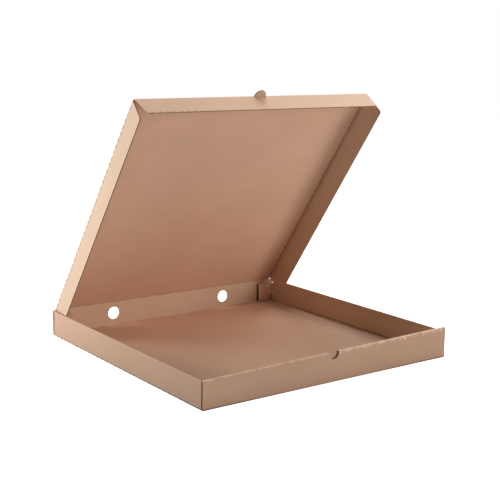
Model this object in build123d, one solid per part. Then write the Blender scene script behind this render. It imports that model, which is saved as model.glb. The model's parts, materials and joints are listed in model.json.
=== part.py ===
from build123d import *

import os
from math import acos, asin, cos, degrees, radians, sin

# Square pizza box folded from one die-cut sheet of kraft corrugated board, standing half open.
# Origin: middle of the tray's underside. X runs to the right, the front wall is at -Y, Z is up. Millimetres.
# The lid is modelled closed, with its hinge axis on X, and is then swung open to the angle it stands at.

# Board
board = 1.5
ply_gap = 0.1  # air left between boards that lie on each other
fold_radius = 1.3  # outside of a pressed fold
crush_width = 3.0  # crushed strip on the inside of a lid fold
crush_depth = 0.6

# Tray
tray_width = 400.0
tray_length = 400.0
side_wall_height = 37.2
rear_wall_height = 37.7

# Double front wall, rolled over from outside to inside. Its fold is pressed home at the left end only.
front_height_left = 36.8
front_height_right = 43.0
roll_radius = 1.9
notch_radius = 8.0
notch_depth = 9.5
foot_width = 34.0
foot_spacing = 0.55 * tray_width
foot_clearance = 0.3

# Vent holes in the rear wall
vent_diameter = 18.8
vent_spacing = tray_width / 2
vent_height = 20.0

# Front ears of the side walls, held inside the double front wall
front_ear_length = 62.0
front_ear_bottom = 3.0
front_ear_drop = 3.4

# Rear ears of the side walls, folded in front of the rear wall and tucked into slots in it
rear_ear_reach = 28.3
rear_ear_bottom = 3.2
rear_ear_top = 31.4
rear_ear_standoff = 1.2
ear_bend_radius = 3.2
ear_root_bottom = 15.0
ear_corner_cut = 11.0
ear_tab_run = 2.4
ear_tab_shoulder = 1.6
ear_slot_play = 0.25
wall_relief = 0.8  # slit between an ear's root and the wall above and below it

# Lid
lid_open_angle = 53.7  # from level
lid_side_clearance = 4.0  # each side, at the hinge
lid_front_clearance = 8.0
lid_taper = 4.2
hinge_gap = 0.3  # between the round root of a flap and the board it turns on
bead_facets = 12  # flats around the round root of a flap
tab_radius = 9.0
tab_reach = 9.6  # from the front fold

# Side flaps of the lid
left_flap_depth = 33.4
right_flap_depth = 36.6
side_flap_clearance = 0.4  # between a closed flap's free edge and the tray's wall
side_flap_start = 1.6  # from the hinge
side_flap_rise = 0.4  # of the open flap's rear end over the tray's wall
side_flap_front_gap = 2.0
side_flap_taper = 2.4
side_flap_corner = 4.5
left_flap_splay = 7.0  # degrees out of square at the front end
right_flap_splay = 5.0
twist_steps = 8  # straight lengths that make up the twist

# Front flap of the lid
front_flap_depth = 27.7
front_flap_end_gap = 1.8
front_flap_taper = 5.0  # of the left end
front_flap_flare = 1.3  # of the right end
front_flap_corner_left = 6.0
front_flap_corner_right = 2.0
tab_dip_depth = 4.0
tab_dip_play = 0.5
tab_dip_corner = 1.0

half_board = board / 2
half_width = tray_width / 2
half_length = tray_length / 2
inner_x = half_width - board
inner_front = half_length - 3 * board - 2 * ply_gap
ear_y = half_length - board - rear_ear_standoff - half_board
ear_bend_start = ear_y - ear_bend_radius
hinge_y = half_length - half_board
hinge_z = rear_wall_height + hinge_gap + half_board
lid_length = tray_length - lid_front_clearance
lid_width_rear = tray_width - 2 * lid_side_clearance
lid_width_front = lid_width_rear - lid_taper
front_fold = lid_length - half_board
overshoot = 8 * board  # how far a cutting body stands out of the board


def block(x0, x1, y0, y1, z0, z1):
    """A box between two corners."""
    return Pos((x0 + x1) / 2, (y0 + y1) / 2, (z0 + z1) / 2) * Box(x1 - x0, y1 - y0, z1 - z0)


def outline(points, rounded=()):
    """A flat outline, with the listed corners rounded: pairs of a point and its radius."""
    with BuildSketch() as drawn:
        with BuildLine():
            Polyline(*points, close=True)
        make_face()
        for point, radius in rounded:
            fillet(drawn.vertices().sort_by_distance(point)[0], radius)
    return drawn.sketch


def front_height(x):
    """Height of the rolled front fold at x."""
    share = (x + half_width) / tray_width
    return front_height_left + (front_height_right - front_height_left) * share


def front_section(x):
    """The doubled front wall cut across at x: up the outside, over the fold and down the inside."""
    top = front_height(x)
    foot = board + ply_gap
    points = (
        (-half_length, 0),
        (-half_length, top),
        (-inner_front, top),
        (-inner_front, foot),
        (-inner_front - board, foot),
        (-inner_front - board, top - board),
        (-half_length + board, top - board),
        (-half_length + board, 0),
    )
    rounded = ((points[1], roll_radius), (points[2], roll_radius))
    plane = Plane(origin=(x, 0, 0), x_dir=(0, 1, 0), z_dir=(1, 0, 0))
    return (plane * outline(points, rounded)).faces()[0]


def front_wall():
    """Outer panel, rolled fold and inner panel, with the finger notch and the locking feet."""
    wall = loft([front_section(-half_width), front_section(half_width)], ruled=True)
    panel_stop = inner_x - ply_gap
    fold_underside = front_height_left - 2 * board
    for side in (-1, 1):
        near, far = sorted((side * panel_stop, side * (half_width + board)))
        wall -= block(near, far, -half_length + board, -inner_front + board, -board, fold_underside)
    top = front_height(0)
    centre_z = top - notch_depth + notch_radius
    front_y = -half_length - overshoot
    rear_y = -half_length + overshoot
    notch = Pos(0, -half_length, centre_z) * Rot(90, 0, 0) * Cylinder(notch_radius, 2 * overshoot)
    notch += block(-notch_radius, notch_radius, front_y, rear_y, centre_z, top + board)
    wall -= notch
    for side in (-1, 1):
        left = side * foot_spacing / 2 - foot_width / 2
        wall += block(left, left + foot_width, -inner_front - board, -inner_front, 0, 2 * board)
    return wall


def floor_panel():
    """The floor, with slots for the feet."""
    floor = block(-half_width, half_width, -half_length, half_length, 0, board)
    slot_width = foot_width + 2 * foot_clearance
    slot_front = -inner_front - board - foot_clearance
    for side in (-1, 1):
        left = side * foot_spacing / 2 - slot_width / 2
        floor -= block(left, left + slot_width, slot_front, -inner_front + foot_clearance, -board, 2 * board)
    return floor


def rear_wall():
    """The rear wall, with its vent holes and the slots for the ears."""
    wall = block(-half_width, half_width, half_length - board, half_length, 0, rear_wall_height)
    tuck_x = half_width - rear_ear_reach
    slot_low = rear_ear_bottom + ear_tab_shoulder - ply_gap
    slot_high = rear_ear_top - ear_tab_shoulder + ply_gap
    for side in (-1, 1):
        vent = Rot(90, 0, 0) * Cylinder(vent_diameter / 2, 2 * overshoot)
        wall -= Pos(side * vent_spacing / 2, half_length, vent_height) * vent
        near, far = sorted((side * (tuck_x + ear_slot_play), side * (tuck_x - ear_tab_run - ear_slot_play)))
        wall -= block(near, far, half_length - 2 * board, half_length + board, slot_low, slot_high)
    return wall


def rear_ear():
    """The right rear ear: a strip folded in from the side wall, its end tucked into its slot."""
    wall_x = half_width - half_board
    tuck_x = half_width - rear_ear_reach
    with BuildSketch() as plan:
        with BuildLine():
            FilletPolyline(
                (wall_x, ear_bend_start - board),
                (wall_x, ear_y),
                (tuck_x, ear_y),
                (tuck_x - ear_tab_run, half_length - half_board),
                radius=[ear_bend_radius, board],
            )
        trace(line_width=board)
    strip = Pos(0, 0, rear_ear_bottom) * extrude(plan.sketch, rear_ear_top - rear_ear_bottom)
    cut_corner = outline(
        (
            (half_width - ear_corner_cut, 0),
            (half_width + board, 0),
            (half_width + board, ear_root_bottom),
            (half_width - 2 * board, ear_root_bottom),
        )
    )
    rear_plane = Plane(origin=(0, half_length, 0), x_dir=(1, 0, 0), z_dir=(0, -1, 0))
    strip -= extrude(rear_plane * cut_corner, overshoot)
    shoulder_y = half_length - board - ply_gap
    tab_low = rear_ear_bottom + ear_tab_shoulder
    tab_high = rear_ear_top - ear_tab_shoulder
    for low, high in ((0, tab_low), (tab_high, side_wall_height)):
        strip -= block(tuck_x - overshoot, tuck_x + board, shoulder_y, half_length + board, low, high)
    return strip


def side_wall():
    """The right side wall with its front and rear ears."""
    front_y = -half_length + board + ply_gap
    rear_y = half_length - board - ply_gap
    wall = block(inner_x, half_width, front_y, ear_bend_start, 0, side_wall_height)
    wall += block(inner_x, half_width, ear_bend_start, rear_y, 0, ear_root_bottom - wall_relief)
    wall += block(inner_x, half_width, ear_bend_start, rear_y, rear_ear_top + wall_relief, side_wall_height)
    wall += rear_ear()
    ear_top = side_wall_height - front_ear_drop
    wall += block(half_width - front_ear_length, half_width, front_y, front_y + board, front_ear_bottom, ear_top)
    return wall


def tray():
    """Floor and walls as one folded sheet."""
    right = side_wall()
    shell = floor_panel() + rear_wall() + front_wall() + right + mirror(right, about=Plane.YZ)
    folds = []
    for edge in shell.edges():
        middle = edge.center()
        on_rim = max(abs(abs(middle.X) - half_width) < 1e-6, abs(abs(middle.Y) - half_length) < 1e-6)
        if abs(middle.Z) < 1e-6 and on_rim:
            folds.append(edge)
    return fillet(folds, fold_radius)


def lid_half_width(s):
    """Half the lid's width over its folds, at s from the hinge."""
    return (lid_width_rear + (lid_width_front - lid_width_rear) * s / lid_length) / 2


def crush_cutter(start, end, inward):
    """Wedge that thins the inside of the lid's panel along its edge from start to end."""
    wedge = outline(
        (
            (-board, -board),
            (crush_width, -board),
            (crush_width, -half_board),
            (0, crush_depth - half_board),
            (-board, crush_depth - half_board),
        )
    )
    run = Vector(*end) - Vector(*start)
    section = Plane(origin=start, x_dir=inward, z_dir=run)
    if section.y_dir.Z < 0:
        section = Plane(origin=end, x_dir=inward, z_dir=-run)
    return extrude(section * wedge, run.length)


def lid_panel():
    """The lid's panel with its half-moon tab, closed, the inside facing down."""
    inset = board + hinge_gap
    front_y = -(lid_length - inset)
    rear_x = lid_half_width(0) - inset
    front_x = lid_half_width(-front_y) - inset
    corners = ((-rear_x, 0), (rear_x, 0), (front_x, front_y), (-front_x, front_y))
    panel = extrude(outline(corners), half_board, both=True)
    panel += Rot(0, 90, 0) * Cylinder(half_board, 2 * rear_x)
    tab_y = tab_radius - lid_length - tab_reach
    tab = Pos(0, tab_y, 0) * Cylinder(tab_radius, board)
    tab += block(-tab_radius, tab_radius, tab_y, front_y + crush_width, -half_board, half_board)
    panel -= crush_cutter((-lid_width_front, front_y, 0), (lid_width_front, front_y, 0), (0, 1, 0))
    for side in (-1, 1):
        rear_corner = (side * rear_x, 0, 0)
        front_corner = (side * front_x, front_y, 0)
        along = Vector(*front_corner) - Vector(*rear_corner)
        inward = along.cross(Vector(0, 0, side)).normalized()
        panel -= crush_cutter(rear_corner, front_corner, inward)
    return panel + tab


def flap_profile(depth):
    """A flap cut across, hanging from its fold at the origin: X is outwards, the inside is crushed at the root."""
    reach = half_board + hinge_gap
    crushed_x = crush_depth - half_board
    bead_end = degrees(acos(crushed_x / half_board))
    bead = []
    for step in range(bead_facets + 1):
        turn = radians((360 - bead_end) * step / bead_facets)
        bead.append((half_board * cos(turn), half_board * sin(turn)))
    body = ((crushed_x, -reach), (-half_board, -reach - crush_width), (-half_board, -depth), (half_board, -depth))
    return outline((*bead, *body))


def side_flap(full_depth, front_splay):
    """The right flap of the lid, closed. It twists out of square towards the front."""
    start = side_flap_start
    end = lid_length - side_flap_front_gap
    depth = full_depth - half_board
    root_x = lid_half_width(start) - half_board
    tip_x = lid_half_width(end) - half_board
    rear_splay = degrees(asin((inner_x - side_flap_clearance - half_board - root_x) / depth))
    sections = []
    for step in range(twist_steps + 1):
        share = step / twist_steps
        splay = radians(rear_splay + (front_splay - rear_splay) * share)
        origin = (root_x + (tip_x - root_x) * share, -start - (end - start) * share, 0)
        across = Plane(origin=origin, x_dir=(cos(splay), 0, sin(splay)), z_dir=(0, -1, 0))
        sections.append((across * flap_profile(depth)).faces()[0])
    slab = loft(sections, ruled=True)
    free_edge = -depth * cos(radians(max(front_splay, rear_splay)))
    front_corner = (side_flap_taper - end, free_edge)
    open_angle = radians(lid_open_angle)
    drop = hinge_z - side_wall_height - side_flap_rise
    mitre_depth = (start * sin(open_angle) + drop) / cos(open_angle)
    mitre_end = (depth * cos(open_angle) - drop) / sin(open_angle)
    points = (
        (-start, board),
        (-start, -mitre_depth),
        (-mitre_end, -depth),
        (-mitre_end, free_edge),
        front_corner,
        (-end, 0),
        (-end, board),
    )
    side_plane = Plane(origin=(0, 0, 0), x_dir=(0, 1, 0), z_dir=(1, 0, 0))
    trim = outline(points, ((front_corner, side_flap_corner),))
    return slab & extrude(side_plane * trim, tray_width)


def front_flap():
    """The front flap of the lid, closed, dipped at the middle where the tab passes it."""
    depth = front_flap_depth - half_board
    half_root = lid_half_width(front_fold) - front_flap_end_gap
    free_left = front_flap_taper - half_root
    free_right = half_root + front_flap_flare
    across = Plane(origin=(half_root, -front_fold, 0), x_dir=(0, -1, 0), z_dir=(-1, 0, 0))
    slab = extrude(across * flap_profile(depth), 2 * half_root)
    points = (
        (-half_root, board),
        (-half_root, 0),
        (free_left, -depth),
        (free_right, -depth),
        (half_root, 0),
        (half_root, board),
    )
    rounded = ((points[2], front_flap_corner_left), (points[3], front_flap_corner_right))
    front_plane = Plane(origin=(0, -lid_length - board, 0), x_dir=(1, 0, 0), z_dir=(0, -1, 0))
    slab &= extrude(front_plane * outline(points, rounded), -overshoot)
    dip_half = tab_radius + tab_dip_play
    dip_low = half_board - tab_dip_depth
    dip_points = ((-dip_half, board), (-dip_half, dip_low), (dip_half, dip_low), (dip_half, board))
    dip_round = ((dip_points[1], tab_dip_corner), (dip_points[2], tab_dip_corner))
    return slab - extrude(front_plane * outline(dip_points, dip_round), -overshoot)


def main():
    """Builds the tray and the lid's four pieces, and swings the lid open."""
    opened = Pos(0, hinge_y, hinge_z) * Rot(-lid_open_angle, 0, 0)
    nodes = {
        "tray": tray(),
        "lid": opened * lid_panel(),
        "lid_front_flap": opened * front_flap(),
        "lid_left_flap": opened * mirror(side_flap(left_flap_depth, left_flap_splay), about=Plane.YZ),
        "lid_right_flap": opened * side_flap(right_flap_depth, right_flap_splay),
    }
    os.makedirs("parts", exist_ok=True)
    for name, solid in nodes.items():
        export_step(solid, f"parts/{name}.step")
        print(name, "solids", len(solid.solids()), "volume", round(solid.volume))


main()
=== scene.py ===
# %% [markdown]
# A pizza box is one die-cut sheet of brown corrugated board: two flat liners with a wavy fluting paper
# between them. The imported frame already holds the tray, the lid and the lid's three flaps at their true
# size, so this script keeps those shapes and adds what makes them board: paper, flute ends, pressed folds
# and soft light.

# %% Load the frame and keep its box
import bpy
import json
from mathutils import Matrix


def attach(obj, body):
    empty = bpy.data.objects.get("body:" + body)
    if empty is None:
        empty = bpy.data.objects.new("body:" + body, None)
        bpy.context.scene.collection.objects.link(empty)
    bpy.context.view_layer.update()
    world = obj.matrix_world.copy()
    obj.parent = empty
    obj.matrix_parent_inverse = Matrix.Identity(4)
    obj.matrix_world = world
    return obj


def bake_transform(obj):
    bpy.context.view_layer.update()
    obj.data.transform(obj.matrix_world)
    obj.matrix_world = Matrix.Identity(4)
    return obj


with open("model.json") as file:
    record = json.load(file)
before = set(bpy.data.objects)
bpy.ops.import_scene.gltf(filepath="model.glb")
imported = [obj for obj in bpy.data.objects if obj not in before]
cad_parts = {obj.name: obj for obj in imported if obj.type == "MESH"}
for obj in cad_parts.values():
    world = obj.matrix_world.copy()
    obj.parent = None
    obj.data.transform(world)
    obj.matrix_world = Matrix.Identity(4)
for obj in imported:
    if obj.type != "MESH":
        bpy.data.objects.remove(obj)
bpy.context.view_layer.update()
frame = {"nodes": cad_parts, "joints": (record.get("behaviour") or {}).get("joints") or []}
print("nodes", sorted(frame["nodes"]))

# %% Modules
import json
import math

import bmesh
import bpy
from mathutils import Matrix, Vector

# %% [markdown]
# All later steps measure from the board and its folds. The joints in the frame are the folds of the lid, so
# their places are read from there, and only the sizes that no joint states are written down.

# %% Sizes of the board and the folds, in metres
BOARD = 0.0015
HALF_BOARD = BOARD / 2
FLUTE_PITCH = 0.0032
HALF_WIDTH = 0.2
HALF_LENGTH = 0.2
WALL_HEIGHT = 0.0372
FRONT_HEIGHT_LEFT = 0.0368
FRONT_HEIGHT_RIGHT = 0.043
LID_LENGTH = 0.392
LID_ANGLE = math.radians(53.7)
folds = {joint["name"]: joint for joint in frame["joints"]}
hinge = Vector(folds["lid_hinge"]["pos_m"])
front_fold = Vector(folds["front_flap_fold"]["pos_m"])
LID_FORWARD = Vector((0, -math.cos(LID_ANGLE), math.sin(LID_ANGLE)))
LID_OUTWARD = Vector((0, math.sin(LID_ANGLE), math.cos(LID_ANGLE)))
print("hinge", tuple(hinge), "front fold", tuple(front_fold))

# %% [markdown]
# A pressed fold bends the outer liner round the crushed board. It can be made as a thin strip of liner: a
# flat plane whose edge is spun round the fold and then pulled out on the other side.

# %% Start from nothing selected
def deselect_all():
    bpy.ops.object.select_all(action="DESELECT")


deselect_all()

# %% Choose edges by their place
TINY = 1e-7


def select_edges(piece, chosen):
    mesh = bmesh.from_edit_mesh(piece.data)
    mesh.select_mode = {"EDGE"}
    for part in (mesh.verts, mesh.edges, mesh.faces):
        for item in part:
            item.select = False
    for edge in mesh.edges:
        if chosen(edge):
            edge.select_set(True)
    bmesh.update_edit_mesh(piece.data)


# %% Give a strip of liner its thickness
LINER = 0.00006


def thicken(strip):
    solidify = strip.modifiers.new("liner", "SOLIDIFY")
    solidify.thickness = LINER
    solidify.offset = 1
    bpy.ops.object.modifier_apply(modifier="liner")


# %% A strip of liner round a fold, from the first board to the second
LIFT = 0.00003
FOLD_STEPS = 6


def fold_strip(name, middle, axis, length, first_out, first_away, turn, flange):
    """The strip starts flat on the first board, spins by turn about the fold and ends flat on the second."""
    radius = HALF_BOARD + LIFT
    deselect_all()
    bpy.ops.mesh.primitive_plane_add(size=1, location=(0, 0, 0))
    strip = bpy.context.active_object
    strip.name = name
    bpy.ops.object.mode_set(mode="EDIT")
    bpy.ops.transform.resize(value=(length, flange, 1))
    bpy.ops.transform.translate(value=(0, -flange / 2, radius))
    bpy.ops.mesh.select_mode(type="EDGE")
    select_edges(strip, lambda edge: all(abs(v.co.y) < TINY for v in edge.verts))
    bpy.ops.mesh.spin(steps=FOLD_STEPS, angle=turn, center=(0, 0, 0), axis=(-1, 0, 0))
    far = Vector((0, math.cos(turn), -math.sin(turn))) * flange
    bpy.ops.mesh.extrude_region_move(TRANSFORM_OT_translate={"value": far})
    bpy.ops.mesh.select_all(action="SELECT")
    bpy.ops.mesh.normals_make_consistent(inside=False)
    bpy.ops.object.mode_set(mode="OBJECT")
    across = first_out.cross(axis).normalized()
    if across.dot(first_away) > 0:
        axis = -axis
        across = -across
    turned = Matrix((axis.normalized(), across, first_out.normalized())).transposed().to_4x4()
    strip.matrix_world = Matrix.Translation(middle) @ turned
    bpy.ops.object.transform_apply(location=True, rotation=True, scale=True)
    thicken(strip)
    print(name, len(strip.data.polygons), "faces", [round(d, 4) for d in strip.dimensions])
    return strip


# %% [markdown]
# The lid turns on the top of the rear wall. Seen from behind, the liner runs unbroken from the wall over the
# fold and up the lid.

# %% Fold between the rear wall and the lid
UP = Vector((0, 0, 1))
X_AXIS = Vector((1, 0, 0))
BACK = Vector((0, 1, 0))
HINGE_LENGTH = 0.3914
HINGE_FLANGE = 0.0025
BLEND_REACH = 0.0008
hinge_turn = math.pi / 2 - LID_ANGLE
hinge_fold = fold_strip("hinge_fold", hinge, X_AXIS, HINGE_LENGTH, BACK, -UP, hinge_turn, HINGE_FLANGE)
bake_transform(hinge_fold)

# %% [markdown]
# At the front edge of the lid the half-moon tab interrupts the fold, so its strip is made in two lengths.

# %% Fold between the lid and its front flap
FRONT_FOLD_HALF = 0.1912
TAB_HALF = 0.0098
FRONT_FLANGE = 0.0022
front_fold_strips = []
for side, start_x, end_x in (("left", -FRONT_FOLD_HALF, -TAB_HALF), ("right", TAB_HALF, FRONT_FOLD_HALF)):
    middle = front_fold + X_AXIS * ((start_x + end_x) / 2)
    name = f"front_fold_{side}"
    length = end_x - start_x
    strip = fold_strip(name, middle, X_AXIS, length, LID_OUTWARD, -LID_FORWARD, math.pi / 2, FRONT_FLANGE)
    middle + LID_OUTWARD * BLEND_REACH
    middle + LID_FORWARD * BLEND_REACH
    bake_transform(strip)
    front_fold_strips.append(strip)

# %% [markdown]
# The folds of the side flaps run along the flaps' own joint axes. As the flaps are splayed, their strips turn
# by a little less than a right angle.

# %% Folds between the lid and its side flaps
SIDE_FOLD_LENGTH = 0.3882
SIDE_FOLD_TURN = math.radians(86)
SIDE_FLANGE = 0.0016
side_fold_strips = []
for side, sign in (("left", -1), ("right", 1)):
    root = Vector(folds[f"{side}_flap_fold"]["pos_m"])
    along = Vector(folds[f"{side}_flap_fold"]["axis"])
    if along.dot(LID_FORWARD) < 0:
        along = -along
    outward = X_AXIS * sign
    middle = root + along * (SIDE_FOLD_LENGTH / 2)
    name = f"{side}_flap_fold_strip"
    strip = fold_strip(
        name, middle, along, SIDE_FOLD_LENGTH, LID_OUTWARD, -outward, SIDE_FOLD_TURN, SIDE_FLANGE
    )
    middle + LID_OUTWARD * BLEND_REACH
    middle + outward * BLEND_REACH
    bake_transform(strip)
    side_fold_strips.append(strip)

# %% [markdown]
# The front wall is doubled, and the fold along its top is only crushed by hand: its liner is buckled and
# stands a little proud. It is a strip too, this time with many cuts along its length, so that a cloudy
# displacement can buckle it. It rides on the tray.

# %% Height of the front wall, which rises to the right
ROLL_RADIUS = 0.0019
ROLL_DROP = 0.0045
ROLL_STEPS = 5
ROLL_CUTS = 150
ROLL_END_GAP = 0.0004
NOTCH_HALF = 0.0079
INNER_FACE = 0.1953
slope = math.atan((FRONT_HEIGHT_RIGHT - FRONT_HEIGHT_LEFT) / (2 * HALF_WIDTH))


def front_height(x):
    share = (x + HALF_WIDTH) / (2 * HALF_WIDTH)
    return FRONT_HEIGHT_LEFT + (FRONT_HEIGHT_RIGHT - FRONT_HEIGHT_LEFT) * share


print("the front wall rises by", round(math.degrees(slope), 2), "degrees")

# %% A strip over the roll, from the outer face of the front wall to its inner face
def crushed_fold(name, start_x, end_x):
    """The strip has a vertex group, crown, that fades out down both faces of the wall."""
    length = end_x - start_x
    top_width = HALF_LENGTH - INNER_FACE - 2 * ROLL_RADIUS
    drop = ROLL_DROP - ROLL_RADIUS
    deselect_all()
    bpy.ops.mesh.primitive_plane_add(size=1, location=(0, 0, 0), rotation=(math.pi / 2, 0, 0))
    strip = bpy.context.active_object
    strip.name = name
    bpy.ops.object.transform_apply(location=True, rotation=True, scale=True)
    bpy.ops.object.mode_set(mode="EDIT")
    bpy.ops.transform.resize(value=(length, 1, drop))
    bpy.ops.transform.translate(value=(0, -ROLL_RADIUS, -drop / 2))
    bpy.ops.mesh.select_mode(type="EDGE")
    select_edges(strip, lambda edge: all(abs(v.co.z) < TINY for v in edge.verts))
    bpy.ops.mesh.spin(steps=ROLL_STEPS, angle=math.pi / 2, center=(0, 0, 0), axis=(-1, 0, 0))
    bpy.ops.mesh.extrude_region_move(TRANSFORM_OT_translate={"value": (0, top_width, 0)})
    bpy.ops.mesh.spin(steps=ROLL_STEPS, angle=math.pi / 2, center=(0, top_width, 0), axis=(-1, 0, 0))
    bpy.ops.mesh.extrude_region_move(TRANSFORM_OT_translate={"value": (0, 0, -drop)})
    select_edges(strip, lambda edge: abs(edge.verts[0].co.x - edge.verts[1].co.x) > length / 2)
    bpy.ops.mesh.subdivide(number_cuts=ROLL_CUTS)
    bpy.ops.mesh.select_all(action="SELECT")
    bpy.ops.mesh.normals_make_consistent(inside=False)
    bpy.ops.object.mode_set(mode="OBJECT")
    centre_x = (start_x + end_x) / 2
    place = Vector((centre_x, -HALF_LENGTH + ROLL_RADIUS, front_height(centre_x) - ROLL_RADIUS))
    strip.matrix_world = Matrix.Translation(place) @ Matrix.Rotation(-slope, 4, "Y")
    bpy.ops.object.transform_apply(location=True, rotation=True, scale=True)
    crown = strip.vertex_groups.new(name="crown")
    for vertex in strip.data.vertices:
        depth = front_height(vertex.co.x) - vertex.co.z
        crown.add([vertex.index], max(0.0, min(1.0, 1 - depth / ROLL_DROP)), "REPLACE")
    return strip


# %% Buckle the strip by two sizes of cloud
BUCKLES = ((0.0007, 0.006), (0.0005, 0.025))
INWARD_SHARE = 0.25


def buckle(strip, strength, size):
    """Pushes the crown of the strip out and in by a cloudy pattern of the given size."""
    clouds = bpy.data.textures.new(f"buckles_{strip.name}_{size}", "CLOUDS")
    clouds.noise_scale = size
    clouds.noise_depth = 1
    push = strip.modifiers.new("buckle", "DISPLACE")
    push.texture = clouds
    push.texture_coords = "LOCAL"
    push.strength = strength
    push.mid_level = INWARD_SHARE
    push.vertex_group = "crown"
    bpy.context.view_layer.objects.active = strip
    bpy.ops.object.modifier_apply(modifier="buckle")


front_rolls = []
for side, start_x, end_x in (
    ("left", -HALF_WIDTH + ROLL_END_GAP, -NOTCH_HALF),
    ("right", NOTCH_HALF, HALF_WIDTH - ROLL_END_GAP),
):
    strip = crushed_fold(f"front_roll_{side}", start_x, end_x)
    for strength, size in BUCKLES:
        buckle(strip, strength, size)
    deselect_all()
    strip.select_set(True)
    bpy.context.view_layer.objects.active = strip
    thicken(strip)
    bpy.ops.object.shade_smooth_by_angle(angle=math.radians(50))
    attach(strip, "tray")
    print(strip.name, len(strip.data.polygons), "faces")
    front_rolls.append(strip)

# %% [markdown]
# The paper is brown kraft: a cloudy base, short darker and lighter fibres along the machine direction, a few
# dark flecks, and a very faint washboard from the flutes beneath. A small class lets these sums be written
# as plain expressions. A mask is a value that is 1 on the part of the sheet that it names and 0 elsewhere.

# %% Shader values as expressions
class Value:
    """A shader socket that adds Math nodes when it is used in a sum."""

    def __init__(self, tree, socket):
        self.tree = tree
        self.socket = socket

    def node(self, kind, settings=None, output=0, **inputs):
        """A new node. An input is named by its label, or by i and its number."""
        made = self.tree.nodes.new(kind)
        for key, setting in (settings or {}).items():
            setattr(made, key, setting)
        for key, value in inputs.items():
            target = made.inputs[int(key[1:])] if key[0] == "i" and key[1:].isdigit() else made.inputs[key]
            if isinstance(value, Value):
                self.tree.links.new(value.socket, target)
            else:
                target.default_value = value
        return Value(self.tree, made.outputs[output])

    def math(self, operation, *others):
        inputs = {f"i{slot}": value for slot, value in enumerate((self, *others))}
        return self.node("ShaderNodeMath", {"operation": operation}, **inputs)

    def __add__(self, other):
        return self.math("ADD", other)

    __radd__ = __add__

    def __sub__(self, other):
        return self.math("SUBTRACT", other)

    def __rsub__(self, other):
        return self.node("ShaderNodeMath", {"operation": "SUBTRACT"}, i0=other, i1=self)

    def __mul__(self, other):
        return self.math("MULTIPLY", other)

    __rmul__ = __mul__

    def __truediv__(self, other):
        return self.math("DIVIDE", other)

    def __abs__(self):
        return self.math("ABSOLUTE")

    def over(self, other):
        """1 where this is more than the other."""
        return self.math("GREATER_THAN", other)

    def under(self, other):
        """1 where this is less than the other."""
        return self.math("LESS_THAN", other)

    def between(self, low, high):
        """1 where this lies between low and high."""
        return self.over(low) * self.under(high)

    def at_most(self, other):
        return self.math("MINIMUM", other)

    def at_least(self, other):
        return self.math("MAXIMUM", other)

    def wave(self, pitch):
        """A sine wave along this coordinate."""
        return (self * (2 * math.pi / pitch)).math("SINE")

    def split(self):
        """The three numbers of a vector."""
        parts = self.tree.nodes.new("ShaderNodeSeparateXYZ")
        self.tree.links.new(self.socket, parts.inputs[0])
        return [Value(self.tree, parts.outputs[axis]) for axis in range(3)]

    def line(self):
        """A vector with this as X, so that noise changes along one coordinate only."""
        return self.node("ShaderNodeCombineXYZ", i0=self)

    def noise(self, scale, detail=2.0, roughness=0.5):
        return self.node("ShaderNodeTexNoise", Vector=self, Scale=scale, Detail=detail, Roughness=roughness)

    def mapped(self, kind="POINT", location=(0, 0, 0), rotation=(0, 0, 0), scale=(1, 1, 1)):
        places = {"Location": location, "Rotation": rotation, "Scale": scale}
        return self.node("ShaderNodeMapping", {"vector_type": kind}, Vector=self, **places)

    def ramp(self, start, end, first, last):
        """Even run from first to last while this goes from start to end."""
        return self.node("ShaderNodeMapRange", i0=self, i1=start, i2=end, i3=first, i4=last)

    def stretch(self, low, high):
        """0 below low, 1 above high, even in between."""
        return self.ramp(low, high, 0, 1)

    def scaled(self, factor):
        """A colour made lighter or darker by a factor."""
        return self.node("ShaderNodeVectorMath", {"operation": "SCALE"}, Vector=self, Scale=factor)

    def blend_colours(self, first, second):
        """First colour where this is 0, second where it is 1."""
        return self.node("ShaderNodeMix", {"data_type": "RGBA"}, output=2, i0=self, i6=first, i7=second)

    def towards(self, colour, share):
        """This colour where share is 0, the other where it is 1."""
        return self.node("ShaderNodeMix", {"data_type": "RGBA"}, output=2, i0=share, i6=self, i7=colour)


# %% Colours of the paper, as linear values
KRAFT = (0.69, 0.478, 0.348, 1)
KRAFT_PALE = (0.74, 0.525, 0.395, 1)
KRAFT_DEEP = (0.61, 0.405, 0.29, 1)
# Paler kraft that stands in for whiter light on the paper: painted light and sheen.
KRAFT_IN_WHITE_LIGHT = (0.785, 0.605, 0.465, 1)
FLECK = (0.25, 0.14, 0.08, 1)
CHANNEL = (0.16, 0.09, 0.055, 1)
CUT_PAPER = (0.52, 0.34, 0.23, 1)
# A painted highlight for the crest of the front roll.
CREST_HIGHLIGHT = (0.88, 0.68, 0.54, 1)
# Colour of cracks, also used for painted shade along some folds.
CRACK_AND_SHADE = (0.14, 0.08, 0.05, 1)
SHADED_SLOT = (0.10, 0.05, 0.035, 1)
WALL_END_SHADE = (0.075, 0.030, 0.013, 1)
# Colour of the lid's inside creases: cracks and painted shade.
INNER_CRACK_AND_SHADE = (0.10, 0.036, 0.018, 1)
NOTCH_SHADE = (0.085, 0.028, 0.012, 1)


# %% Start a material and give back its coordinates
def new_board_material(name):
    material = bpy.data.materials.new(name)
    material.use_nodes = True
    tree = material.node_tree
    tree.nodes.clear()
    coordinates = tree.nodes.new("ShaderNodeTexCoord")
    place = Value(tree, coordinates.outputs["Object"])
    normal = Value(tree, coordinates.outputs["Normal"])
    return material, tree, place, normal


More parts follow.
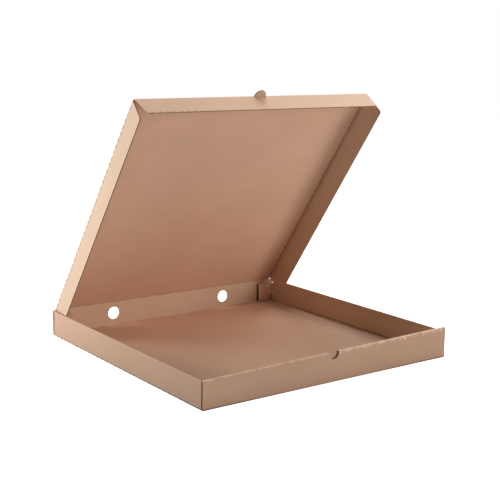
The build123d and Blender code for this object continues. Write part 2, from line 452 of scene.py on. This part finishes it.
# %% The look of plain kraft liner
def liner_look(place, flutes, tone, white_light_share):
    """Colour, roughness and height. flutes is the coordinate across the flutes; the last argument is how much
    paler paper is painted on for whiter light and sheen.
    """
    cloud = place.noise(9, 3, 0.6).stretch(0.3, 0.7)
    fibre_along = place.mapped(scale=(1, 0.12, 0.4)).noise(900, 2, 0.6).stretch(0.35, 0.7)
    fibre_across = place.mapped(scale=(0.25, 1, 1)).noise(620, 2, 0.6).stretch(0.4, 0.75)
    washboard = flutes.wave(FLUTE_PITCH)
    fleck = place.noise(1300, 1, 0.4).stretch(0.74, 0.8)
    colour = cloud.blend_colours(KRAFT_DEEP, KRAFT_PALE).towards(KRAFT, 0.62)
    colour = colour.towards(KRAFT_DEEP, fibre_along * 0.22)
    colour = colour.towards(KRAFT_PALE, fibre_across * 0.18)
    colour = colour.towards(FLECK, fleck * 0.5)
    colour = colour.towards(KRAFT_IN_WHITE_LIGHT, white_light_share).scaled(tone)
    roughness = 0.72 + fibre_along * 0.12
    height = washboard * 0.00002 + fibre_along * 0.00002 + place.noise(60, 2) * 0.00012
    return colour, roughness, height


# %% Flute ends and open channels on a cut edge
LINER_DEPTH = 0.00028
WAVE_DEPTH = 0.00036
HALF_MEDIUM = 0.00019


def cut_edge(across, along, crosswise):
    """1 where paper shows on a cut edge: across is the distance from the middle of the board."""
    liner = abs(across).over(HALF_BOARD - LINER_DEPTH)
    flute = along.wave(FLUTE_PITCH) * (HALF_BOARD - WAVE_DEPTH)
    medium = abs(across - flute).under(HALF_MEDIUM)
    return liner.at_least(medium * crosswise)


# %% Small cracks and marks where the liner is bent
def fold_cracks(along, spread, amount):
    """1 in short broken dashes along a fold. along is the coordinate on the fold, spread their pitch."""
    line = along.line()
    chance = line.noise(1 / spread, 1, 0.4).stretch(0.52 - amount, 0.60 - amount)
    wander = line.noise(0.25 / spread, 1, 0.4).stretch(0.40 - amount, 0.55 - amount)
    return chance * wander


def fold_dashes(along, pitch):
    """1 in the nearly even dashes that the flutes press into a fold, one every pitch."""
    line = along.line()
    wander = line.noise(0.6 / pitch, 1, 0.5) * 5
    wave = (along * (2 * math.pi / pitch) + wander).math("SINE")
    strong = line.noise(0.15 / pitch, 1, 0.5).stretch(0.24, 0.42).at_least(0.55)
    return wave.stretch(-0.1, 0.5) * strong


# %% Lay marks or shade over a look
def add_marks(look, marks, colour):
    """The look with the given colour laid over it where marks is 1."""
    base, roughness, height = look
    return base.towards(colour, marks), roughness, height


def shade(look, factor):
    """The look with its colour made lighter or darker by a factor."""
    base, roughness, height = look
    return base.scaled(factor), roughness, height


# %% Put the liner, the cut edges and the shader together
BUMP_STRENGTH = 0.6
CUT_HEIGHT = 0.0003
PAPER_IOR = 1.45
PAPER_GLOSS = 0.25


def finish_material(tree, look, edge_mask=None, paper=None, cut_light_and_shade=1):
    """The last argument makes the cut edges lighter or darker, as painted light or shade."""
    colour, roughness, height = look
    if edge_mask is not None:
        cut = paper.blend_colours(CHANNEL, CUT_PAPER).scaled(cut_light_and_shade)
        colour = colour.towards(cut, edge_mask)
        height = height * (1 - edge_mask) + paper * edge_mask * CUT_HEIGHT
    shader = tree.nodes.new("ShaderNodeBsdfPrincipled")
    shader.inputs["IOR"].default_value = PAPER_IOR
    shader.inputs["Specular IOR Level"].default_value = PAPER_GLOSS
    bump = tree.nodes.new("ShaderNodeBump")
    bump.inputs["Strength"].default_value = BUMP_STRENGTH
    bump.inputs["Distance"].default_value = 1.0
    tree.links.new(height.socket, bump.inputs["Height"])
    tree.links.new(colour.socket, shader.inputs["Base Color"])
    tree.links.new(roughness.socket, shader.inputs["Roughness"])
    tree.links.new(bump.outputs["Normal"], shader.inputs["Normal"])
    output = tree.nodes.new("ShaderNodeOutputMaterial")
    tree.links.new(shader.outputs[0], output.inputs[0])


def dress(piece, material):
    piece.data.materials.clear()
    piece.data.materials.append(material)
    print(piece.name, "has", material.name, "of", len(material.node_tree.nodes), "nodes")


# %% [markdown]
# On the tray the flutes run from front to back, and so they stand upright in the front and rear walls. The
# cut edge shows its paper on the tops of the side walls and round the vents. The ends of the walls and the
# finger notch lie in shade, so they are painted dark.

# %% Cut edges of the tray
tray_board, tree, place, normal = new_board_material("tray_board")
x, y, z = place.split()
nx, ny, nz = normal.split()
MARGIN = 0.0001
INNER_SIDE = HALF_WIDTH - BOARD
INNER_REAR = HALF_LENGTH - BOARD
WALL_TOP_END = 0.1984
VENT_BAND = (0.008, 0.032)
VENT_REACH = 0.12
side_top = abs(x).over(INNER_SIDE - MARGIN) * z.over(WALL_HEIGHT - MARGIN) * nz.over(0.7)
side_top = side_top * abs(y).under(WALL_TOP_END)
vent = y.over(INNER_REAR - MARGIN) * abs(ny).under(0.5) * z.between(*VENT_BAND) * abs(x).under(VENT_REACH)
wall_middle = abs(x) - (HALF_WIDTH - HALF_BOARD)
rear_middle = y - (HALF_LENGTH - HALF_BOARD)
edges = (side_top + vent).at_most(1)

# %% Paper on those edges
# Towards the rear the tops of the side walls are pressed shut.
pressed = 0.6 + 0.4 * y.line().noise(120, 2, 0.6).stretch(0.35, 0.6)
closed_flute = y.ramp(-0.16, 0.04, 0.05, 0.7) * pressed
side_paper = cut_edge(wall_middle, y, 0) * (1 - closed_flute) + closed_flute
paper = side_paper * side_top + cut_edge(rear_middle, x, 1) * vent

# %% Faces of the tray
FLOOR_TOP = 0.002
on_floor = z.under(FLOOR_TOP)
above_floor = 1 - on_floor
rear_inside = y.over(INNER_REAR - MARGIN) * above_floor
right_inside = x.over(INNER_SIDE - MARGIN) * above_floor
left_outside = x.under(2 * MARGIN - HALF_WIDTH)
front_outside = y.under(0.0008 - HALF_LENGTH)
rear_outside = y.over(HALF_LENGTH - 2 * MARGIN)

# %% The right rear ear, folded in front of the rear wall
EAR_FROM, EAR_TO = 0.1713, 0.1975
EAR_FRONT, EAR_BACK = 0.195, 0.1962
on_ear = y.between(EAR_FRONT, EAR_BACK) * x.between(EAR_FROM, EAR_TO)
ear_inside = on_ear * above_floor
ear_face = on_ear * abs(ny).over(0.8) * z.over(FLOOR_TOP)

# %% [markdown]
# Light and shade are painted into the tray's paper. Painted shade makes the floor deeper towards the front
# and along both side walls, the outer faces a little deeper than the inside, and the front of the right
# wall's inside deeper; painted light makes the floor paler towards the rear and the rear wall's inside
# palest.

# %% Painted light and shade over the tray
FLOOR_FRONT, FLOOR_REAR = -HALF_LENGTH, HALF_LENGTH
floor_painted_light_and_shade = y.ramp(FLOOR_FRONT, FLOOR_REAR, -0.16, 0.13)
floor_painted_light_and_shade += x.ramp(-HALF_WIDTH, -0.06, -0.19, 0) * y.ramp(FLOOR_FRONT, 0.05, 1.5, 1)
floor_painted_light_and_shade += x.ramp(-0.13, -0.01, -0.14, 0) * y.ramp(0.03, 0.10, 1, 0)
floor_painted_light_and_shade += x.ramp(0.06, HALF_WIDTH, 0, -0.36) * y.ramp(FLOOR_FRONT, 0, 1, 0)
floor_painted_light_and_shade += x.ramp(0.155, 0.197, 0, -0.24) * y.ramp(-0.16, -0.02, 0.4, 1)
painted_light_and_shade = on_floor * floor_painted_light_and_shade - 0.16 * rear_outside
painted_light_and_shade += left_outside * y.ramp(FLOOR_FRONT, FLOOR_REAR, -0.08, -0.14)
painted_light_and_shade += front_outside * x.ramp(-HALF_WIDTH, HALF_WIDTH, -0.09, -0.21)
painted_light_and_shade -= right_inside * y.ramp(FLOOR_FRONT, 0, 0.16, 0.05)
# Painted light: the insides of the rear wall, the right wall and the ear get paler, whiter paper.
white_light_share = rear_inside * 0.9 + right_inside * 0.3 + ear_inside
look = liner_look(place, x, 1 + painted_light_and_shade, white_light_share)

# %% [markdown]
# Where the front wall is rolled over, a painted highlight lies on its crest in patches that reach further
# down in places, more so to the right, where the wall stands higher. Between the patches the left part of the
# roll is darkened with painted shade.

# %% The rolled top of the front wall
crest_depth = front_height(x) - z
along_crest = x.line()
on_front = y.under(-INNER_FACE + 0.0008)
rightwards = x.ramp(-0.03, 0.03, 0, 1)
highlight_reach_noise = along_crest.noise(150, 2, 0.6).stretch(0.42, 0.66)
highlight_patches = along_crest.noise(70, 2, 0.6).stretch(0.36, 0.58) * (0.55 + 0.45 * rightwards)
crest_reach = 0.0017 + highlight_reach_noise * (0.0016 + 0.0032 * rightwards)
# Painted shade dims the left part of the roll between the highlight patches.
crest_shade = (1 - crest_depth.stretch(0.001, 0.0026)) * on_front * (1 - rightwards) * 0.14
look = shade(look, 1 - crest_shade * (1 - highlight_patches))
# A painted highlight lies in patches along the crest.
crest = ((crest_reach - crest_depth) * 1400).at_most(1).at_least(0) * on_front
look = add_marks(look, crest * highlight_patches * 0.7, CREST_HIGHLIGHT)

# %% Wall ends and finger notch, painted dark for the shade they lie in
OUTER_PLY_BACK = -0.1976
front_end = y.under(-0.1970) * abs(nx).over(0.9) * abs(x).over(0.199)
rear_end = y.over(0.1962) * abs(nx).over(0.3) * abs(x).over(0.1987)
look = add_marks(look, (front_end + rear_end) * 0.98, WALL_END_SHADE)
notch = y.under(-0.1952) * abs(x).under(0.0085) * abs(ny).under(0.5) * z.over(0.028)
in_outer_ply = y.under(OUTER_PLY_BACK)
outer_middle = y + (HALF_LENGTH - HALF_BOARD)
inner_middle = y + (INNER_FACE + HALF_BOARD)
ply_middle = outer_middle * in_outer_ply + inner_middle * (1 - in_outer_ply)
look = add_marks(look, notch * (1 - 0.2 * cut_edge(ply_middle, x, 1)), NOTCH_SHADE)

# %% Cracks and painted shade along the tray's folds, and painted light on the ear
FLOOR_DASH_PITCH = 0.0125
# Painted shade along the foot of the right wall's inside, strongest at the front.
right_foot_shade = (1 - z.stretch(0.0019, 0.0036)) * right_inside * y.ramp(FLOOR_FRONT, FLOOR_REAR, 0.6, 0.15)
look = add_marks(look, right_foot_shade, CRACK_AND_SHADE)
# Painted light makes the face of the ear lighter, and painted shade darkens the ear's fold.
look = shade(look, 1 + 0.3 * ear_face)
ear_fold_shade = x.between(0.1960, 0.1984) * y.over(0.1955) * z.between(FLOOR_TOP, 0.0314)
look = add_marks(look, ear_fold_shade * 0.5, CRACK_AND_SHADE)
side_foot = (1 - z.stretch(0.0016, 0.0028)) * abs(x).over(HALF_WIDTH - 0.0012)
look = add_marks(look, side_foot * fold_dashes(y, FLOOR_DASH_PITCH) * 0.9, CRACK_AND_SHADE)
front_foot = (1 - z.stretch(0.0004, 0.0012)) * y.under(0.0012 - HALF_LENGTH)
look = add_marks(look, front_foot * fold_cracks(x, 0.004, -0.04) * 0.5, CRACK_AND_SHADE)

# %% The slot that holds the end of the rear ear, in its shade
SLOT_FROM, SLOT_TO = 0.1684, 0.1713
slot = x.between(SLOT_FROM, SLOT_TO) * y.over(0.1960) * z.between(0.003, 0.0316)
look = add_marks(look, slot * 0.9, SHADED_SLOT)

# %% One dark speck that is pressed into the front wall
SPECK = Vector((0.1030, -0.2, 0.0321))
distance = place.node("ShaderNodeVectorMath", {"operation": "DISTANCE"}, output=1, i0=place, i1=SPECK)
look = add_marks(look, (1 - distance.stretch(0.0004, 0.0011)) * 0.75, CRACK_AND_SHADE)

# %% Dress the tray and its rolled fold
# The tray's cut edges are made lighter, a painted highlight.
finish_material(tree, look, edges, paper.at_most(1), 1.35)
dress(frame["nodes"]["tray"], tray_board)
for roll in front_rolls:
    dress(roll, tray_board)

# %% [markdown]
# The lid and its flaps stand at an angle, so their coordinates are first turned back to the closed lid. A
# Mapping node does that: X is across, Y runs forward from the hinge as a negative number, and Z is through
# the board.

# %% Coordinates of the closed lid
def closed_lid(place, normal):
    turned = place.mapped("TEXTURE", location=hinge, rotation=(-LID_ANGLE, 0, 0))
    direction = normal.mapped("TEXTURE", rotation=(-LID_ANGLE, 0, 0))
    return turned, direction


# %% The side folds run slightly inwards to the front
FLAP_ROOTS = (0.19524, 0.19316)
FLAP_SPANS = (0.0016, 0.39)
SIDE_DASH_PITCH = 0.0105


def fold_share(y):
    """0 at the rear end of a side flap, 1 at its front end."""
    return (-1 * y - FLAP_SPANS[0]) / (FLAP_SPANS[1] - FLAP_SPANS[0])


def fold_line_x(y):
    return FLAP_ROOTS[0] + fold_share(y) * (FLAP_ROOTS[1] - FLAP_ROOTS[0])


# %% [markdown]
# The lid's board shows faint bands across it, is painted lighter towards the hinge as painted light, and its
# outer face is a little darker. Along the side folds its inside has painted crease shade with dashed cracks
# in it. Only the half-moon tab shows a cut edge, darkened with painted shade, as all other edges of the lid
# are folds.

# %% Board of the lid
lid_board, tree, place, normal = new_board_material("lid_board")
turned, direction = closed_lid(place, normal)
x, y, z = turned.split()
nx, ny, nz = direction.split()
TAB_START = -0.3904
tab = y.under(TAB_START) * abs(nz).under(0.5)
bands = y.node("ShaderNodeCombineXYZ", i0=y, i1=x * 0.02).noise(230, 2, 0.6) * 0.07 - 0.035
# Painted light makes the board lighter towards the hinge; the outer face is a fifth darker and the bands are
# faint tone.
lid_tone_and_light = y.ramp(-LID_LENGTH, 0, 1.0, 1.13) - 0.2 * nz.over(0.5) + bands
look = liner_look(turned, x, lid_tone_and_light, 0)
# Painted shade in the inside crease along the side folds, with dashed cracks over it.
inner_crease = (1 - (fold_line_x(y) - abs(x)).stretch(0.0024, 0.0029)) * nz.under(-0.5)
crease_cracks_and_shade = inner_crease * (0.22 + 0.6 * fold_dashes(y, SIDE_DASH_PITCH))
look = add_marks(look, crease_cracks_and_shade, INNER_CRACK_AND_SHADE)
# The tab's cut edge is darkened with painted shade.
finish_material(tree, look, tab, cut_edge(z, x, 1), 0.45)
dress(frame["nodes"]["lid"], lid_board)
for strip in (hinge_fold, *front_fold_strips):
    dress(strip, lid_board)

# %% Board of the side folds, with painted shade and broken cracks on the inside
fold_board, tree, place, normal = new_board_material("side_fold_board")
turned, direction = closed_lid(place, normal)
x, y, z = turned.split()
nx, ny, nz = direction.split()
# Painted sheen makes the strips a little paler.
look = liner_look(turned, x, 1, 0.4)
beyond_fold = abs(x) - fold_line_x(y)
inward = (nx * x.math("SIGN") * beyond_fold + nz * z).under(0)
# Painted shade inside the crease, with dashed cracks over it.
look = add_marks(look, inward * (0.6 + 0.35 * fold_dashes(y, SIDE_DASH_PITCH)), INNER_CRACK_AND_SHADE)
finish_material(tree, look)
for strip in side_fold_strips:
    dress(strip, fold_board)

# %% [markdown]
# The front flap is painted paler to the right, a painted sheen, and painted lighter in the middle under the
# tab, painted light that lifts the tab's shadow. Along its free edge it is darker below a wavy line, which
# fades out to the right.

# %% Board of the front flap
flap_board, tree, place, normal = new_board_material("front_flap_board")
turned, direction = closed_lid(place, normal)
x, y, z = turned.split()
nx, ny, nz = direction.split()
BELOW_FOLD = -0.0012
ZIGZAG_PITCH = 0.0103
ZIGZAG_FADE = (-0.13, 0.02)
upright = turned.mapped(rotation=(math.pi / 2, 0, 0))
# Painted light lifts the tab's shadow in the middle of the flap.
under_tab_light = (1 - abs(x).stretch(0.006, 0.014)) * z.stretch(-0.016, -0.002)
flap_painted_light = x.ramp(-HALF_WIDTH, HALF_WIDTH, 1.03, 1.0) + 0.14 * under_tab_light
# Painted sheen makes the flap paler towards the right.
look = liner_look(upright, x, flap_painted_light, x.ramp(-HALF_WIDTH, HALF_WIDTH, 0, 0.8))
zigzag = x.wave(ZIGZAG_PITCH) * x.ramp(*ZIGZAG_FADE, 0.0012, 0)
zigzag_line = (-1 * z - zigzag).stretch(0.0255, 0.0266) * x.ramp(*ZIGZAG_FADE, 0.4, 0.06)
look = add_marks(look, zigzag_line, CRACK_AND_SHADE)
free_edge = abs(ny).under(0.6) * z.under(BELOW_FOLD)
from_middle = y + (LID_LENGTH - HALF_BOARD)
end_paper = abs(nx).over(0.35)
paper = cut_edge(from_middle, x, 1).at_least(end_paper)
# The free edge is painted darker and the flap's ends lighter: painted shade and painted light.
finish_material(tree, look, free_edge, paper, 0.85 + 0.5 * end_paper)
dress(frame["nodes"]["lid_front_flap"], flap_board)

# %% [markdown]
# The side flaps are splayed, more at the front than at the rear, so the middle of their board leans with
# them. Their outer faces have a row of dark dashes close to the fold. Each is painted lighter or darker from
# front to rear, and the left one is made the palest by painted sheen.

# %% Boards of the side flaps
# For each side: its painted light at the front and rear, its share of painted sheen, and its splay at the
# rear and front.
SIDE_FLAPS = {
    "left": ((1.02, 0.86), 0.85, (math.radians(3.7), math.radians(7.0))),
    "right": ((0.90, 1.02), 0.25, (math.radians(3.4), math.radians(5.0))),
}
DASH_DEPTHS = (-0.0031, -0.0018)
OUTER_FACE = 0.0003
for side, (painted_light_tones, flap_sheen, (rear_splay, front_splay)) in SIDE_FLAPS.items():
    side_board, tree, place, normal = new_board_material(f"{side}_flap_board")
    turned, direction = closed_lid(place, normal)
    x, y, z = turned.split()
    nx, ny, nz = direction.split()
    splay = rear_splay + fold_share(y) * (front_splay - rear_splay)
    from_middle = abs(x) - fold_line_x(y) + z * splay
    upright = turned.mapped(rotation=(0, math.pi / 2, 0))
    # Painted light and shade along the flap, with painted sheen.
    look = liner_look(upright, z, y.ramp(-LID_LENGTH, 0, *painted_light_tones), flap_sheen)
    near_fold = z.stretch(*DASH_DEPTHS) * from_middle.over(OUTER_FACE)
    look = add_marks(look, near_fold * fold_dashes(y, SIDE_DASH_PITCH) * 0.72, CRACK_AND_SHADE)
    cut = abs(nx).under(0.6) * z.under(BELOW_FOLD)
    crosswise = abs(ny).over(0.5)
    # The cut edges are darkened with painted shade.
    finish_material(tree, look, cut, cut_edge(from_middle, z, crosswise), 0.55)
    dress(frame["nodes"][f"lid_{side}_flap"], side_board)

# %% [markdown]
# The box stands on a white sweep in a white room. Both give white of their own only to the camera and to
# reflections, so the picture's ground is white while the soft shadow under the box is kept. To other rays
# the room is nearly dark.

# %% Rays that see the ground and the room as white
def seen_as_white(tree):
    """1 for a ray from the camera, off a glossy surface or through glass."""
    rays = tree.nodes.new("ShaderNodeLightPath")
    names = ("Is Camera Ray", "Is Glossy Ray", "Is Transmission Ray")
    from_camera, off_gloss, through_glass = (Value(tree, rays.outputs[name]) for name in names)
    return from_camera.at_least(off_gloss).at_least(through_glass)


# %% White floor
FLOOR_SIZE = 12
FLOOR_DROP = 0.0002
deselect_all()
bpy.ops.mesh.primitive_plane_add(size=FLOOR_SIZE, location=(0, 0, -FLOOR_DROP))
floor = bpy.context.active_object
floor.name = "studio_floor"
floor_paint = bpy.data.materials.new("white_sweep")
floor_paint.use_nodes = True
tree = floor_paint.node_tree
tree.nodes.clear()
paint = tree.nodes.new("ShaderNodeBsdfDiffuse")
paint.inputs["Color"].default_value = (0.8, 0.8, 0.8, 1)
glow = tree.nodes.new("ShaderNodeEmission")
glow.inputs["Color"].default_value = (1, 1, 1, 1)
tree.links.new(seen_as_white(tree).socket, glow.inputs["Strength"])
both = tree.nodes.new("ShaderNodeAddShader")
tree.links.new(paint.outputs[0], both.inputs[0])
tree.links.new(glow.outputs[0], both.inputs[1])
output = tree.nodes.new("ShaderNodeOutputMaterial")
tree.links.new(both.outputs[0], output.inputs[0])
dress(floor, floor_paint)

# %% White room
AMBIENT = 0.02
world = bpy.data.worlds.new("white_room")
bpy.context.scene.world = world
world.use_nodes = True
tree = world.node_tree
tree.nodes.clear()
sky = tree.nodes.new("ShaderNodeBackground")
sky.inputs["Color"].default_value = (1, 1, 1, 1)
tree.links.new((AMBIENT + seen_as_white(tree) * (1 - AMBIENT)).socket, sky.inputs["Strength"])
output = tree.nodes.new("ShaderNodeOutputWorld")
tree.links.new(sky.outputs[0], output.inputs[0])
print("ambient light", AMBIENT)

# %% [markdown]
# Product light is soft and comes from square panels, most of them wider than the box. The strongest hangs
# above and behind it, and a small one close to the left brightens the left faces. The others stand to the
# right at several heights, and most of those are warmer.

# %% Soft panels: name, place, aim, width, power, colour
PANELS = (
    ("panel_near_left", (-0.70, 0.50, 0.40), (-0.20, 0.10, 0.10), 0.4, 4.8, (1, 0.96, 0.91)),
    ("panel_top_rear", (0.00, 0.80, 2.00), (0.00, 0.00, 0.30), 1.5, 22.5, (1, 0.96, 0.91)),
    ("panel_front_right_low", (1.30, -1.70, 0.45), (0.00, 0.00, 0.10), 0.8, 14.9, (1, 0.85, 0.77)),
    ("panel_right", (1.90, -0.20, 0.60), (0.00, 0.00, 0.10), 1.0, 10.2, (1, 0.85, 0.77)),
    ("panel_right_high", (1.60, 0.20, 1.50), (0.00, 0.00, 0.10), 1.0, 13.3, (1, 0.95, 0.91)),
    ("panel_front_right_high", (1.20, -1.40, 1.60), (0.00, 0.00, 0.10), 0.8, 7.2, (1, 0.84, 0.78)),
    ("panel_near_top_right", (0.45, 0.40, 1.10), (0.05, -0.03, 0.34), 0.4, 3.9, (1, 0.98, 0.94)),
)


def aim(thing, target):
    thing.rotation_euler = (Vector(target) - thing.location).to_track_quat("-Z", "Y").to_euler()


for name, place, target, width, power, colour in PANELS:
    light = bpy.data.lights.new(name, "AREA")
    light.shape = "SQUARE"
    light.size = width
    light.energy = power
    light.color = colour
    lamp = bpy.data.objects.new(name, light)
    bpy.context.scene.collection.objects.link(lamp)
    lamp.location = place
    aim(lamp, target)
print(len(PANELS), "panels")

# %% [markdown]
# The camera stands at the left of the front, a little above the lid's top edge, and looks slightly down. A
# long lens keeps the edges nearly parallel.

# %% Camera
SENSOR = 36
FRAME_PIXELS = 500
FOCAL_PIXELS = 1060.27
CAMERA_PLACE = (-0.849042, -1.189187, 0.421606)
YAW, PITCH, ROLL = (math.radians(turn) for turn in (35.86, 10.928, 0.64))
forward = Vector((math.sin(YAW) * math.cos(PITCH), math.cos(YAW) * math.cos(PITCH), -math.sin(PITCH)))
right = Vector((math.cos(YAW), -math.sin(YAW), 0))
above = right.cross(forward)
rolled_right = right * math.cos(ROLL) + above * math.sin(ROLL)
rolled_up = -right * math.sin(ROLL) + above * math.cos(ROLL)
lens = bpy.data.cameras.new("camera")
lens.sensor_width = SENSOR
lens.lens = SENSOR * FOCAL_PIXELS / FRAME_PIXELS
camera = bpy.data.objects.new("camera", lens)
bpy.context.scene.collection.objects.link(camera)
camera.matrix_world = Matrix.Translation(CAMERA_PLACE) @ Matrix(
    (rolled_right, rolled_up, -forward)
).transposed().to_4x4()
bpy.context.scene.camera = camera
bpy.context.scene.view_settings.view_transform = "Standard"
print("lens", round(lens.lens, 2), "mm")
